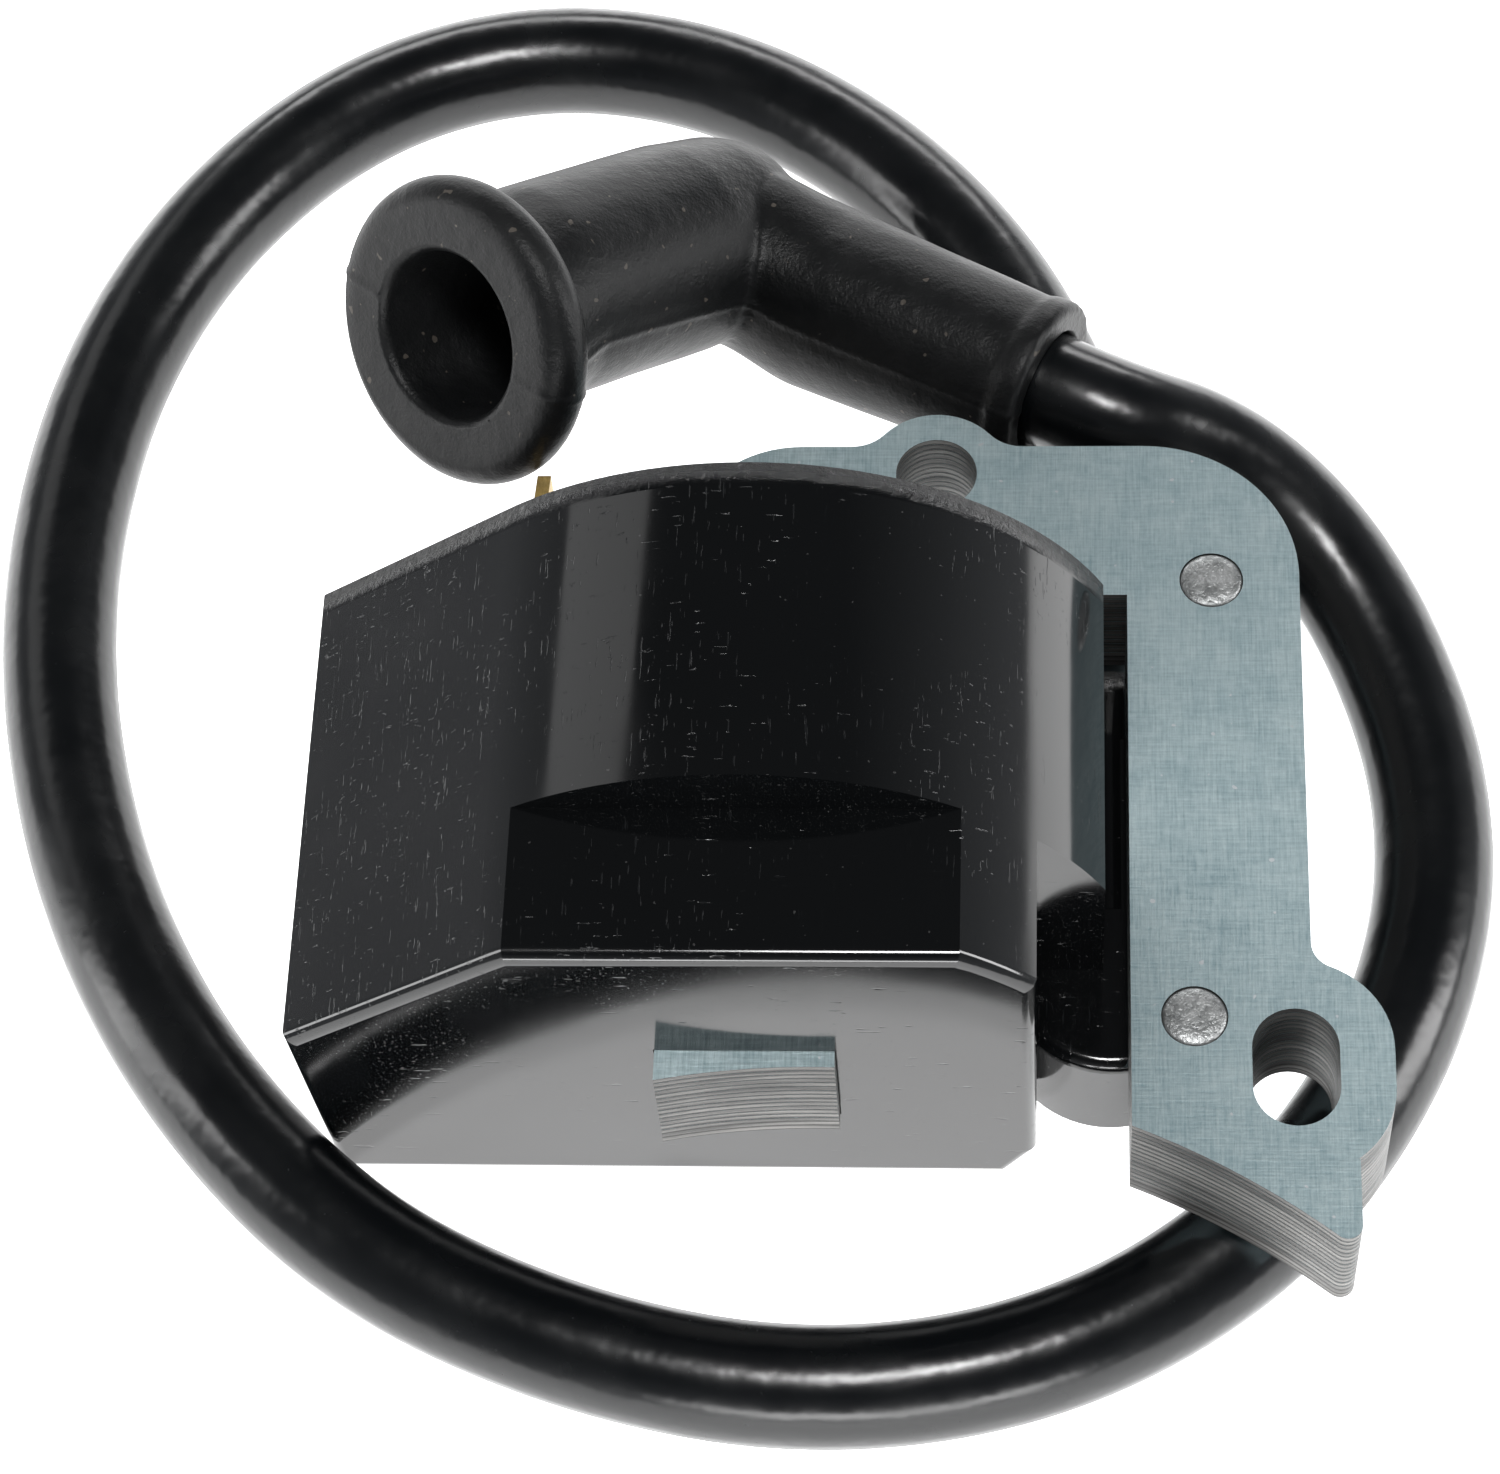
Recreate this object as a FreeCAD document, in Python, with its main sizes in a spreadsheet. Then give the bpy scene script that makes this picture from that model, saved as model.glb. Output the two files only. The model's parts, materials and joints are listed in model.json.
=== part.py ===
"""Ignition coil of a small two-stroke engine, as a parametric FreeCAD document.

Row frame, in millimetres: +X to the right of the coil case, +Y away from the flywheel, +Z up.
The origin is on the table, under the middle of the coil module (its lead and boot left out).
"""

import FreeCAD, Part

import math
import os

import Sketcher

V = FreeCAD.Vector
DOC = FreeCAD.newDocument("ignition_coil")
SUB_PARTS = []

# ---------------------------------------------------------------- driving dimensions

DIMENSIONS = {
    # laminated core
    "plate_pitch": 1.5,
    "plate_thick": 1.47,
    "sheet_count": 13,
    "sheet_pitch": 0.5,
    "sheet_thick": 0.47,
    "core_floor": 8.0,
    "core_half": 4.0,
    "left_leg_x": -10.0,
    "leg_wide": 10.0,
    "right_leg_x": 16.3,
    "yoke_front": 14.4,
    "yoke_rear": 24.8,
    "pole_tip_x": 28.6,
    "pole_tip_root": -21.5,
    "pole_tip_reach": 9.0,
    "tip_fillet": 0.8,
    "flywheel_x": -1.1,
    "flywheel_y": -62.2,
    "flywheel_radius": 46.0,
    "corner_right": 9.0,
    "corner_left": 7.0,
    "bolt_hole_x": 5.1,
    "bolt_hole_y": 22.87,
    "bolt_hole_radius": 2.4,
    "boss_radius": 4.2,
    "boss_fillet": 2.6,
    "slot_x": 25.3,
    "slot_y": -16.0,
    "slot_travel": 1.15,
    "ear_radius": 5.4,
    "ear_fillet": 1.6,
    "rivet_radius": 1.83,
    "rivet_gap": 0.02,
    "rivet_dome": 0.12,
    "rivet_rear_x": 21.2,
    "rivet_rear_y": 15.4,
    "rivet_front_x": 19.8,
    "rivet_front_y": -12.95,
    "rivet_left_x": -5.5,
    "rivet_left_y": 19.2,
    # case
    "case_front": -15.25,
    "case_rear": 14.0,
    "case_left": -30.7,
    "case_left_foot": -29.7,
    "shoulder_z": 16.6,
    "slope_angle": 38.0,
    "dome_x": -5.2,
    "dome_z": 8.5,
    "dome_radius": 22.1,
    "flat_top_z": 26.9,
    "step_y": -6.0,
    "front_right": 11.1,
    "rear_right": 14.9,
    "foot_chamfer_x": 1.7,
    "foot_chamfer_z": 2.9,
    "case_wall": 1.6,
    "edge_round": 0.8,
    "leg_clearance": 0.06,
    # tower that holds the lead
    "tower_x": 15.35,
    "tower_nose_y": -6.1,
    "tower_mouth_y": 10.0,
    "tower_half": 6.15,
    "tower_high": 7.9,
    "lead_axis_z": 3.95,
    "lead_bore_depth": 12.0,
    "sleeve_radius": 4.0,
    "lead_radius": 3.5,
    "lead_gap": 0.05,
    "conductor_radius": 0.75,
    "conductor_gap": 0.02,
    "spike_radius": 0.7,
    "spike_base_y": -3.6,
    "spike_reach": 5.2,
    "spike_point": 1.2,
    "spike_point_radius": 0.15,
    "spike_gap": 0.03,
    "spike_pin_x": 11.9,
    "spike_pin_back": 0.9,
    "link_radius": 0.4,
    # coil on the left leg
    "leg_mid_x": -5.0,
    "core_mid_z": 12.0,
    "coil_front": -13.2,
    "coil_rear": 11.9,
    "bobbin_gap": 0.2,
    "bobbin_wall": 0.8,
    "flange_thick": 1.0,
    "primary_build": 0.8,
    "primary_flange": 1.9,
    "wrap_thick": 0.15,
    "coil_gap": 0.05,
    "secondary_flange": 3.05,
    "fin_proud": 0.3,
    "section_count": 6,
    # electronics
    "board_x": -25.0,
    "board_thick": 1.0,
    "board_front": -11.5,
    "board_rear": 10.0,
    "board_floor": 2.6,
    "board_high": 13.5,
    "board_gap": 0.3,
    "transistor_y": -10.8,
    "transistor_z": 3.4,
    "transistor_off": 3.0,
    "transistor_long": 7.0,
    "transistor_high": 9.5,
    "chip_y": -2.4,
    "chip_z": 3.6,
    "chip_off": 1.6,
    "chip_long": 4.4,
    "chip_high": 5.0,
    "capacitor_y": 3.4,
    "capacitor_z": 3.2,
    "capacitor_off": 5.0,
    "capacitor_long": 5.6,
    "capacitor_high": 7.0,
    "diode_y": -2.4,
    "diode_z": 10.2,
    "diode_off": 2.2,
    "diode_long": 4.4,
    "diode_high": 2.2,
    "resistor_radius": 0.9,
    "resistor_long": 5.2,
    "resistor_y": 3.4,
    "resistor_z": 11.4,
    "resistor_pitch": 2.05,
    # resin
    "fit_gap": 0.05,
    "coil_room_gap": 0.15,
    "resin_rear": 12.9,
    "resin_pocket_rear": 12.0,
    # stop terminal and ground strap
    "blade_x": -17.9,
    "blade_thick": 0.8,
    "blade_front": 6.0,
    "blade_rear": 20.9,
    "blade_taper": 4.5,
    "blade_floor": 14.5,
    "blade_high": 6.0,
    "blade_tip_high": 2.6,
    "strap_thick": 0.3,
    "strap_y": 12.3,
    "strap_floor": 10.5,
    "strap_high": 4.0,
    "strap_long": 12.0,
    # rubber boot
    "boot_plug_radius": 6.5,
    "boot_plug_length": 25.0,
    "boot_tail": 2.6,
    "boot_tail_round": 1.0,
    "boot_elbow_radius": 5.9,
    "boot_flange_radius": 9.5,
    "boot_flange_thick": 3.4,
    "boot_mouth_radius": 5.05,
    "boot_mouth_depth": 13.2,
    "boot_lead_radius": 5.45,
    "boot_rim_radius": 5.65,
    "boot_rim_length": 1.6,
    "boot_rim_bevel": 0.2,
    "boot_throat_radius": 4.15,
    "boot_throat_back": 2.4,
    "boot_lead_bore": 3.6,
    "boot_lead_root": 2.0,
    "spring_radius": 3.6,
    "spring_wire": 0.45,
    "spring_pitch": 1.9,
    "spring_length": 9.9,
    "spring_start": -1.7,
}

# Boot: middle of the elbow, middle of the lead limb's end, and the way the plug limb points.
BOOT_ELBOW = V(-8.4, 42.5, 12.0)
BOOT_LEAD_END = V(11.7, 31.1, 12.75)
PLUG_AXIS = V(-0.607, -0.622, 0.496)
LEAD_LIMB = BOOT_LEAD_END - BOOT_ELBOW
LEAD_AXIS = V(LEAD_LIMB).normalize()

# How far a cutting tool runs past the face that it cuts, and how near an edge is to a named place.
PAST = 1.0
EDGE_REACH = 0.6

# The lead's route: from the tower's mouth, round the loop, into the boot.
ROUTE = [
    V(15.35, 10.0, 3.95),
    V(15.35, 17.0, 3.95),
    V(14.9, 27.6, 3.55),
    V(12.1, 38.4, 3.55),
    V(7.2, 48.2, 3.55),
    V(-0.4, 56.7, 3.55),
    V(-10.5, 62.9, 3.55),
    V(-22.1, 64.7, 3.55),
    V(-33.2, 61.0, 3.55),
    V(-42.4, 51.9, 3.55),
    V(-48.1, 39.8, 3.55),
    V(-50.1, 26.2, 3.55),
    V(-48.9, 12.7, 3.55),
    V(-44.7, -0.6, 3.55),
    V(-37.6, -12.4, 3.55),
    V(-27.8, -22.15, 3.55),
    V(-15.0, -28.1, 3.55),
    V(-1.5, -30.6, 3.55),
    V(11.8, -28.4, 3.55),
    V(23.1, -21.6, 3.55),
    V(30.7, -11.5, 3.55),
    V(34.4, -0.9, 3.6),
    V(34.6, 8.6, 4.1),
    V(31.9, 17.9, 5.2),
    V(27.6, 24.8, 7.2),
    V(21.9, 28.5, 10.1),
    V(15.68, 28.84, 12.9),
    V(7.65, 33.43, 12.6),
    V(-0.4, 37.96, 12.3),
]


def fill_sheet():
    """Writes every driving dimension into the spreadsheet, with its name beside it."""
    sheet = DOC.addObject("Spreadsheet::Sheet", "Dims")
    for row, (name, value) in enumerate(DIMENSIONS.items(), start=1):
        sheet.set(f"A{row}", name)
        sheet.set(f"B{row}", str(value))
        sheet.setAlias(f"B{row}", name)
    DOC.recompute()
    return sheet


SHEET = fill_sheet()


def size(expression):
    """The value of an expression over the sheet's names, such as 'Dims.leg_wide / 2'."""
    return float(SHEET.evalExpression(expression))


def sub_part(label, obj):
    """Registers an object as one of the coil's pieces, under the name of its file."""
    obj.Label = label
    SUB_PARTS.append(obj)
    return obj


def bind(obj, **expressions):
    """Binds properties of an object to expressions; x, y and z stand for where it is placed."""
    for name, expression in expressions.items():
        if name in ("x", "y", "z"):
            obj.setExpression(f"Placement.Base.{name}", expression)
        else:
            obj.setExpression(name, expression)
    return obj


# ---------------------------------------------------------------- sketch helpers


def sketch_on(body, name, role, offset="0"):
    """A sketch on one of the body's own origin planes, moved along the plane's normal."""
    plane = next(f for f in body.Origin.OriginFeatures if f.Role == role)
    sketch = body.newObject("Sketcher::SketchObject", name)
    sketch.AttachmentSupport = [(plane, "")]
    sketch.MapMode = "FlatFace"
    sketch.setExpression("AttachmentOffset.Base.z", offset)
    return sketch


def pin(sketch, edge, end, kind, text):
    """Fixes one coordinate of an edge's end or middle at an expression, from the sketch's origin."""
    value = size(text)
    if abs(value) < 1e-9:
        axis = -2 if kind == "DistanceX" else -1
        sketch.addConstraint(Sketcher.Constraint("PointOnObject", edge, end, axis))
        return
    index = sketch.addConstraint(Sketcher.Constraint(kind, -1, 1, edge, end, value))
    sketch.setExpression(f"Constraints[{index}]", text)


def pin_point(sketch, edge, end, x, y):
    """Fixes one end of an edge, or its middle, at expressions x and y."""
    pin(sketch, edge, end, "DistanceX", x)
    pin(sketch, edge, end, "DistanceY", y)


def pin_arc(sketch, edge, start, end):
    """Fixes an arc whose ends are fixed: by its radius, or a half circle by its middle."""
    radius = size(start[2])
    across, along = size(end[0]) - size(start[0]), size(end[1]) - size(start[1])
    if math.hypot(across, along) < 2 * abs(radius) - 1e-6:
        index = sketch.addConstraint(Sketcher.Constraint("Radius", edge, abs(radius)))
        sketch.setExpression(f"Constraints[{index}]", f"abs({start[2]})")
    elif abs(across) > abs(along):
        pin(sketch, edge, 3, "DistanceY", f"(({start[1]}) + ({end[1]})) / 2")
    else:
        pin(sketch, edge, 3, "DistanceX", f"(({start[0]}) + ({end[0]})) / 2")


def arc_between(start, end, radius):
    """An arc from start to end; a positive radius bulges to the right of the way it goes."""
    chord = end - start
    middle = (start + end) * 0.5
    normal = V(chord.y, -chord.x, 0).normalize()
    rise = math.sqrt(max(0.0, radius * radius - chord.Length * chord.Length / 4))
    side = 1 if radius > 0 else -1
    top = middle + normal * (side * (abs(radius) - rise))
    return Part.Arc(start, top, end)


def outline(sketch, corners):
    """A closed outline. Each corner is (x, y) or (x, y, radius), the radius of the arc that leaves it."""
    points = [V(size(c[0]), size(c[1]), 0) for c in corners]
    count = len(corners)
    for i, corner in enumerate(corners):
        start, end = points[i], points[(i + 1) % count]
        if len(corner) == 2:
            sketch.addGeometry(Part.LineSegment(start, end))
        else:
            sketch.addGeometry(arc_between(start, end, size(corner[2])))
    arcs = [i for i, c in enumerate(corners) if len(c) == 3]
    backwards = {i for i in arcs if size(corners[i][2]) < 0}
    for i in range(count):
        tail = 1 if i in backwards else 2
        after = (i + 1) % count
        head = 2 if after in backwards else 1
        sketch.addConstraint(Sketcher.Constraint("Coincident", i, tail, after, head))
    for i, corner in enumerate(corners):
        pin_point(sketch, i, 2 if i in backwards else 1, corner[0], corner[1])
    for i in arcs:
        pin_arc(sketch, i, corners[i], corners[(i + 1) % count])


def circle(sketch, x, y, radius):
    """A full circle with its middle at x, y."""
    edge = sketch.addGeometry(Part.Circle(V(size(x), size(y), 0), V(0, 0, 1), size(radius)))
    pin_point(sketch, edge, 3, x, y)
    index = sketch.addConstraint(Sketcher.Constraint("Radius", edge, size(radius)))
    sketch.setExpression(f"Constraints[{index}]", radius)


def pad(body, sketch, length, reverse=False):
    """Pads a sketch along its normal, or against it."""
    feature = body.newObject("PartDesign::Pad", f"{sketch.Name}_pad")
    feature.Profile = sketch
    feature.Reversed = reverse
    feature.setExpression("Length", length)
    sketch.Visibility = False
    DOC.recompute()
    return feature


def pocket(body, sketch, length, reverse=False):
    """Cuts a sketch into the body, and stops if it removed nothing."""
    before = body.Shape.Volume
    feature = body.newObject("PartDesign::Pocket", f"{sketch.Name}_pocket")
    feature.Profile = sketch
    feature.Reversed = reverse
    feature.setExpression("Length", length)
    sketch.Visibility = False
    DOC.recompute()
    if body.Shape.Volume > before - 1e-6:
        raise RuntimeError(f"{feature.Name} cuts nothing")
    return feature


def upright_edges(shape, places):
    """Names of the edges along Z that stand at the given (x, y) places."""
    found = []
    for index, edge in enumerate(shape.Edges, start=1):
        ends = [v.Point for v in edge.Vertexes]
        if len(ends) != 2 or abs(ends[0].z - ends[1].z) < 1e-6:
            continue
        if any((ends[0] - V(x, y, ends[0].z)).Length < EDGE_REACH for x, y in places):
            found.append(f"Edge{index}")
    return found


def round_edges(body, names, radius):
    """A fillet over the named edges of the body's tip."""
    base = body.Tip
    feature = body.newObject("PartDesign::Fillet", f"{body.Name}_round")
    feature.Base = (base, names)
    feature.setExpression("Radius", radius)
    DOC.recompute()
    return feature


def box(name, x, y, z, length, width, height):
    """A box from its lowest corner and its sizes, all expressions."""
    made = DOC.addObject("Part::Box", name)
    return bind(made, x=x, y=y, z=z, Length=length, Width=width, Height=height)


def cylinder(name, radius, height, base, direction=V(0, 0, 1)):
    """A cylinder from a base point along a direction."""
    made = DOC.addObject("Part::Cylinder", name)
    made.Placement = FreeCAD.Placement(base, FreeCAD.Rotation(V(0, 0, 1), direction))
    return bind(made, Radius=radius, Height=height)


def fuse(name, shapes):
    """One solid from several overlapping ones."""
    made = DOC.addObject("Part::MultiFuse", name)
    made.Shapes = shapes
    return made


def cut(name, base, tool):
    """base less tool."""
    made = DOC.addObject("Part::Cut", name)
    made.Base = base
    made.Tool = tool
    return made


def compound(name, shapes):
    """Separate solids of one kind, kept together in one node."""
    made = DOC.addObject("Part::Compound", name)
    made.Links = shapes
    return made


# ---------------------------------------------------------------- laminated core


def build_lamination(name, thick):
    """One sheet of the core: a U with a boss behind, an ear and a pole tip in front."""
    body = DOC.addObject("PartDesign::Body", name)
    sketch = sketch_on(body, f"{name}_outline", "XY_Plane", "Dims.core_floor")
    left, right = "Dims.left_leg_x", "Dims.right_leg_x"
    far_left, far_right = f"{left} + Dims.leg_wide", f"{right} + Dims.leg_wide"
    below = "Dims.pole_tip_root - Dims.pole_tip_reach"
    corners = [
        (left, below),
        (far_left, below),
        (far_left, "Dims.yoke_front"),
        (right, "Dims.yoke_front"),
        (right, below),
        ("Dims.pole_tip_x", below),
        ("Dims.pole_tip_x", "Dims.pole_tip_root"),
        (far_right, "Dims.pole_tip_root"),
        (far_right, "Dims.yoke_rear - Dims.corner_right", "Dims.corner_right"),
        (f"{far_right} - Dims.corner_right", "Dims.yoke_rear"),
        (f"{left} + Dims.corner_left", "Dims.yoke_rear", "Dims.corner_left"),
        (left, "Dims.yoke_rear - Dims.corner_left"),
    ]
    outline(sketch, corners)
    pad(body, sketch, thick)

    boss = sketch_on(body, f"{name}_boss", "XY_Plane", "Dims.core_floor")
    circle(boss, "Dims.bolt_hole_x", "Dims.bolt_hole_y", "Dims.boss_radius")
    pad(body, boss, thick)

    ear = sketch_on(body, f"{name}_ear", "XY_Plane", "Dims.core_floor")
    slot_outline(ear, "Dims.ear_radius")
    pad(body, ear, thick)

    reach = math.sqrt(size("Dims.boss_radius^2 - (Dims.yoke_rear - Dims.bolt_hole_y)^2"))
    boss_roots = [(size("Dims.bolt_hole_x") + side * reach, size("Dims.yoke_rear")) for side in (-1, 1)]
    round_edges(body, upright_edges(body.Shape, boss_roots), "Dims.boss_fillet")
    step = size(f"{far_right} - Dims.slot_x")
    ear_top = size("Dims.slot_y + Dims.slot_travel") + math.sqrt(size("Dims.ear_radius^2") - step * step)
    round_edges(body, upright_edges(body.Shape, [(size(far_right), ear_top)]), "Dims.ear_fillet")

    wheel = sketch_on(body, f"{name}_wheel", "XY_Plane", "Dims.core_floor")
    circle(wheel, "Dims.flywheel_x", "Dims.flywheel_y", "Dims.flywheel_radius")
    pocket(body, wheel, thick, reverse=True)
    tip_y = size("Dims.flywheel_y") + math.sqrt(
        size("Dims.flywheel_radius^2 - (Dims.pole_tip_x - Dims.flywheel_x)^2")
    )
    round_edges(body, upright_edges(body.Shape, [(size("Dims.pole_tip_x"), tip_y)]), "Dims.tip_fillet")

    holes = sketch_on(body, f"{name}_holes", "XY_Plane", "Dims.core_floor")
    circle(holes, "Dims.bolt_hole_x", "Dims.bolt_hole_y", "Dims.bolt_hole_radius")
    for rivet in ("rear", "front", "left"):
        circle(holes, f"Dims.rivet_{rivet}_x", f"Dims.rivet_{rivet}_y", "Dims.rivet_radius + Dims.rivet_gap")
    pocket(body, holes, thick, reverse=True)

    slot = sketch_on(body, f"{name}_slot", "XY_Plane", "Dims.core_floor")
    slot_outline(slot, "Dims.bolt_hole_radius")
    pocket(body, slot, thick, reverse=True)
    return body


def slot_outline(sketch, radius):
    """A slot along Y round the adjusting hole's middle, with round ends of the given radius."""
    x, y = "Dims.slot_x", "Dims.slot_y"
    corners = [
        (f"{x} + {radius}", f"{y} - Dims.slot_travel"),
        (f"{x} + {radius}", f"{y} + Dims.slot_travel", radius),
        (f"{x} - {radius}", f"{y} + Dims.slot_travel"),
        (f"{x} - {radius}", f"{y} - Dims.slot_travel", radius),
    ]
    outline(sketch, corners)


def build_core():
    """A thick end plate, the sheets on it, each a piece of its own, and the rivets."""
    sub_part("core_end_plate", build_lamination("end_plate", "Dims.plate_thick"))
    sheet = build_lamination("lamination", "Dims.sheet_thick")
    for index in range(int(size("Dims.sheet_count"))):
        copy = compound(f"sheet_{index + 1:02d}", [sheet])
        bind(copy, z=f"Dims.plate_pitch + {index} * Dims.sheet_pitch")
        sub_part(f"core_sheet_{index + 1:02d}", copy)
    stack = "Dims.plate_pitch + (Dims.sheet_count - 1) * Dims.sheet_pitch + Dims.sheet_thick"
    tall = f"{stack} + 2 * Dims.rivet_dome"
    for name in ("rear", "front", "left"):
        rivet = cylinder(f"rivet_{name}", "Dims.rivet_radius", tall, V())
        bind(
            rivet,
            x=f"Dims.rivet_{name}_x",
            y=f"Dims.rivet_{name}_y",
            z="Dims.core_floor - Dims.rivet_dome",
        )
        sub_part(f"core_rivet_{name}", rivet)


# ---------------------------------------------------------------- case and resin


def dome_side(radius, z, side):
    """Where the dome's arc of this radius is as high as z, left (-1) or right (1) of its middle."""
    return f"Dims.dome_x + {side} * sqrt(({radius})^2 - ({z} - Dims.dome_z)^2)"


def section_corners(inset, right, top=None):
    """The case's section across Y, moved inwards by inset: flat on top at top, or fully domed."""
    radius = f"(Dims.dome_radius - ({inset}))"
    right_in = f"({right} - ({inset}))"
    foot = f"({inset})"
    lean = "((Dims.case_left - Dims.case_left_foot) / Dims.shoulder_z)"
    tangent_x = f"(Dims.dome_x - {radius} * sin(Dims.slope_angle))"
    tangent_z = f"(Dims.dome_z + {radius} * cos(Dims.slope_angle))"
    left_foot = f"(Dims.case_left_foot + ({inset}) + {lean} * {foot})"
    slope = "tan(Dims.slope_angle)"
    wall_back = f"({tangent_x} - {left_foot} + {lean} * {foot})"
    shoulder_z = f"(({tangent_z} - {slope} * {wall_back}) / (1 - {slope} * {lean}))"
    shoulder_x = f"({left_foot} + {lean} * ({shoulder_z} - {foot}))"
    right_z = f"(Dims.dome_z + sqrt({radius}^2 - ({right_in} - Dims.dome_x)^2))"
    corners = [(left_foot, foot)]
    if top:
        corners += [
            (f"{right_in} - Dims.foot_chamfer_x", foot),
            (right_in, f"{foot} + Dims.foot_chamfer_z"),
            (right_in, right_z, radius),
            (dome_side(radius, f"({top} - ({inset}))", 1), f"{top} - ({inset})"),
            (dome_side(radius, f"({top} - ({inset}))", -1), f"{top} - ({inset})", radius),
        ]
    else:
        corners += [(right_in, foot), (right_in, right_z, radius)]
    return corners + [(tangent_x, tangent_z), (shoulder_x, shoulder_z)]


def section_body(name, inset, rear, step, front):
    """A solid with the case's two sections: domed from rear to step, flat-topped on to front."""
    body = DOC.addObject("PartDesign::Body", name)
    domed = sketch_on(body, f"{name}_domed", "XZ_Plane", f"-({rear})")
    outline(domed, section_corners(inset, "Dims.rear_right"))
    pad(body, domed, f"{rear} - ({step})")
    flat = sketch_on(body, f"{name}_flat", "XZ_Plane", f"-({rear})")
    outline(flat, section_corners(inset, "Dims.front_right", "Dims.flat_top_z"))
    pad(body, flat, f"{rear} - ({front})")
    return body


def build_case():
    """The moulded case: a cup open at the rear, with the lead's tower at its right foot."""
    shell = section_body("case_outside", "0", "Dims.case_rear", "Dims.step_y", "Dims.case_front")
    front_face = size("Dims.case_front")
    rim = [
        f"Edge{i}"
        for i, edge in enumerate(shell.Shape.Edges, start=1)
        if all(abs(v.Point.y - front_face) < 1e-6 for v in edge.Vertexes)
    ]
    round_edges(shell, rim, "Dims.edge_round")

    tower = DOC.addObject("PartDesign::Body", "tower")
    plan = sketch_on(tower, "tower_plan", "XY_Plane")
    corners = [
        ("Dims.tower_x + Dims.tower_half", "Dims.tower_nose_y"),
        ("Dims.tower_x + Dims.tower_half", "Dims.tower_mouth_y"),
        ("Dims.tower_x - Dims.tower_half", "Dims.tower_mouth_y"),
        ("Dims.tower_x - Dims.tower_half", "Dims.tower_nose_y", "Dims.tower_half"),
    ]
    outline(plan, corners)
    pad(tower, plan, "Dims.tower_high")
    top = size("Dims.tower_high")
    rim = [
        f"Edge{i}"
        for i, edge in enumerate(tower.Shape.Edges, start=1)
        if all(abs(v.Point.z - top) < 1e-6 for v in edge.Vertexes)
    ]
    round_edges(tower, rim, "Dims.edge_round")

    room = section_body(
        "case_room",
        "Dims.case_wall",
        "Dims.case_rear",
        "Dims.step_y + Dims.case_wall",
        "Dims.case_front + Dims.case_wall",
    )
    leg = leg_channel("case_leg_hole", "Dims.leg_clearance", f"Dims.case_front - {PAST}", "Dims.case_rear")
    cup = cut("case_cup", shell, fuse("case_hollows", [room, leg]))
    sleeve = lead_hole("sleeve", "Dims.sleeve_radius")
    outside = fuse("case_and_tower", [cup, fuse("lead_housing", [tower, sleeve])])
    bore = lead_hole("lead_bore", "Dims.lead_radius + Dims.lead_gap", PAST)
    spike_room = spike_shape("spike_room", "Dims.spike_radius + Dims.spike_gap")
    link_room = link_shape("link_case_room", "Dims.link_radius + Dims.fit_gap")
    sub_part("coil_case", cut("case", outside, fuse("case_bores", [bore, spike_room, link_room])))


def lead_hole(name, radius, past=0):
    """A cylinder round the lead, from the bottom of its bore to the case's rear."""
    depth = f"Dims.case_rear - Dims.tower_mouth_y + Dims.lead_bore_depth + {past}"
    made = cylinder(name, radius, depth, V(), V(0, 1, 0))
    return bind(made, x="Dims.tower_x", y="Dims.tower_mouth_y - Dims.lead_bore_depth", z="Dims.lead_axis_z")


def leg_channel(name, gap, front, rear):
    """The space that the core's left leg takes, with a gap all round."""
    return box(
        name,
        f"Dims.left_leg_x - {gap}",
        front,
        f"Dims.core_floor - {gap}",
        f"Dims.leg_wide + 2 * {gap}",
        f"{rear} - ({front})",
        f"2 * (Dims.core_half + {gap})",
    )


def build_resin():
    """The potting resin behind and round the windings, level just inside the case's rim."""
    inset = "Dims.case_wall + Dims.fit_gap"
    block = section_body(
        "resin_block",
        inset,
        "Dims.resin_rear",
        f"Dims.step_y + {inset}",
        f"Dims.case_front + {inset}",
    )
    half_wide = f"(Dims.leg_wide / 2 + {coil_reach()} + Dims.coil_room_gap)"
    half_high = f"(Dims.core_half + {coil_reach()} + Dims.coil_room_gap)"
    coil_room = box(
        "coil_room",
        f"Dims.leg_mid_x - {half_wide}",
        "Dims.case_front",
        f"Dims.core_mid_z - {half_high}",
        f"2 * {half_wide}",
        "Dims.resin_pocket_rear - Dims.case_front",
        f"2 * {half_high}",
    )
    board_room = box(
        "board_room",
        "Dims.board_x - Dims.board_gap",
        "Dims.board_front - Dims.board_gap",
        "Dims.board_floor - Dims.board_gap",
        f"Dims.leg_mid_x - {half_wide} - Dims.board_x + 2 * Dims.board_gap",
        "Dims.board_rear - Dims.board_front + 2 * Dims.board_gap",
        "Dims.board_high + 2 * Dims.board_gap",
    )
    leg_front = f"Dims.resin_pocket_rear - {PAST}"
    rooms = [
        coil_room,
        board_room,
        leg_channel("resin_leg_hole", "Dims.leg_clearance", leg_front, "Dims.case_rear"),
        blade_shape("blade_room", "Dims.fit_gap"),
        strap_shape("strap_room", "Dims.fit_gap"),
        link_shape("link_resin_room", "Dims.link_radius + Dims.fit_gap"),
        lead_hole("sleeve_room", "Dims.sleeve_radius", PAST),
        DOC.getObject("tower"),
    ]
    sub_part("potting_resin", cut("resin", block, fuse("resin_rooms", rooms)))


# ---------------------------------------------------------------- windings


def coil_reach():
    """How far the secondary bobbin's flanges stand out from the core's leg."""
    return (
        "(Dims.bobbin_gap + Dims.primary_flange + Dims.coil_gap"
        " + Dims.bobbin_wall + Dims.secondary_flange)"
    )


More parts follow.
